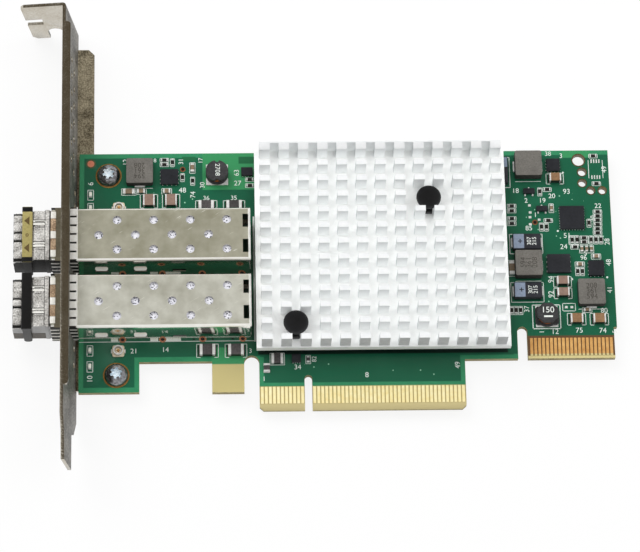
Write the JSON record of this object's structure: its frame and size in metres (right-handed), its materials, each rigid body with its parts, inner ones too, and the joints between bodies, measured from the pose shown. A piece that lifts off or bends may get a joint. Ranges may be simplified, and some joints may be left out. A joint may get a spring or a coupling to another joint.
{
  "type": "network interface card",
  "caption": "Low profile circuit board card with a full height slot bracket, two caged plug-in fibre transceivers with swinging bails, and a pin fin heat sink.",
  "frame": {"origin": "middle of the key notch, on the lower edge of the edge connector, at the component face of the board", "axes": "+X along the board away from the bracket, +Y up the board from the edge connector, +Z out of the component face"},
  "size_m": [0.1507, 0.1201, 0.0198],
  "materials": {
    "bracket_steel": "satin nickel",
    "screw_steel": "bright zinc",
    "resistor_dark": "satin",
    "board_laminate": "green solder mask",
    "chip_epoxy": "matte",
    "ferrite": "matte",
    "copper_wire": "enamelled",
    "contact_gold": "gold plated",
    "sink_aluminium": "bright",
    "black_plastic": "matte",
    "ceramic_brown": "satin",
    "led_lens": "clear",
    "bail_black": "gloss",
    "cage_steel": "nickel plated",
    "collar_steel": "bright nickel",
    "ceramic_sleeve": "gloss",
    "socket_plastic": "matte",
    "module_zinc": "plated die casting",
    "label_film": "satin",
    "inductor_grey": "matte",
    "spring_steel": "bright",
    "tantalum_epoxy": "matte",
    "thermal_rubber": "matte",
    "bail_gold": "satin"
  },
  "bodies": {
    "card": {"bracket": "bracket_steel", "bracket_screws": "screw_steel", "chip_resistors": "resistor_dark", "circuit_board": "board_laminate", "coax_jack_bases": "black_plastic", "coax_jack_shells": "contact_gold", "controller_chip": "chip_epoxy", "drum_inductor_cores": "ferrite", "drum_inductor_windings": "copper_wire", "edge_contacts": "contact_gold", "ferrite_beads": "ferrite", "fuse": "ceramic_brown", "heat_sink": "sink_aluminium", "heat_sink_push_pins": "black_plastic", "large_ceramic_capacitors": "ceramic_brown", "leadless_chips": "chip_epoxy", "led_indicators": "led_lens", "lower_cage": "cage_steel", "lower_cage_collar": "collar_steel", "lower_fibre_sleeves": "ceramic_sleeve", "lower_module_socket": "socket_plastic", "lower_transceiver_board": "board_laminate", "lower_transceiver_housing": "module_zinc", "lower_transceiver_label": "label_film", "memory_chip": "chip_epoxy", "moulded_inductors": "inductor_grey", "push_pin_springs": "spring_steel", "rear_edge_contacts": "contact_gold", "small_ceramic_capacitors": "ceramic_brown", "tantalum_capacitors": "tantalum_epoxy", "thermal_pad": "thermal_rubber", "transistors": "chip_epoxy", "upper_cage": "cage_steel", "upper_cage_collar": "collar_steel", "upper_fibre_sleeves": "ceramic_sleeve", "upper_module_socket": "socket_plastic", "upper_transceiver_board": "board_laminate", "upper_transceiver_housing": "module_zinc", "upper_transceiver_label": "label_film"},
    "upper_bail_body": {"upper_bail": "bail_gold"},
    "lower_bail_body": {"lower_bail": "bail_black"}
  },
  "joints": [
    {"name": "upper_bail_swing", "type": "hinge", "parent": "card", "child": "upper_bail_body", "pos_m": [-0.0695, 0.04335, 0.0012], "axis": [0, -1, 0], "range_deg": [0, 90]},
    {"name": "lower_bail_swing", "type": "hinge", "parent": "card", "child": "lower_bail_body", "pos_m": [-0.0695, 0.02585, 0.0012], "axis": [0, -1, 0], "range_deg": [0, 90]}
  ]
}
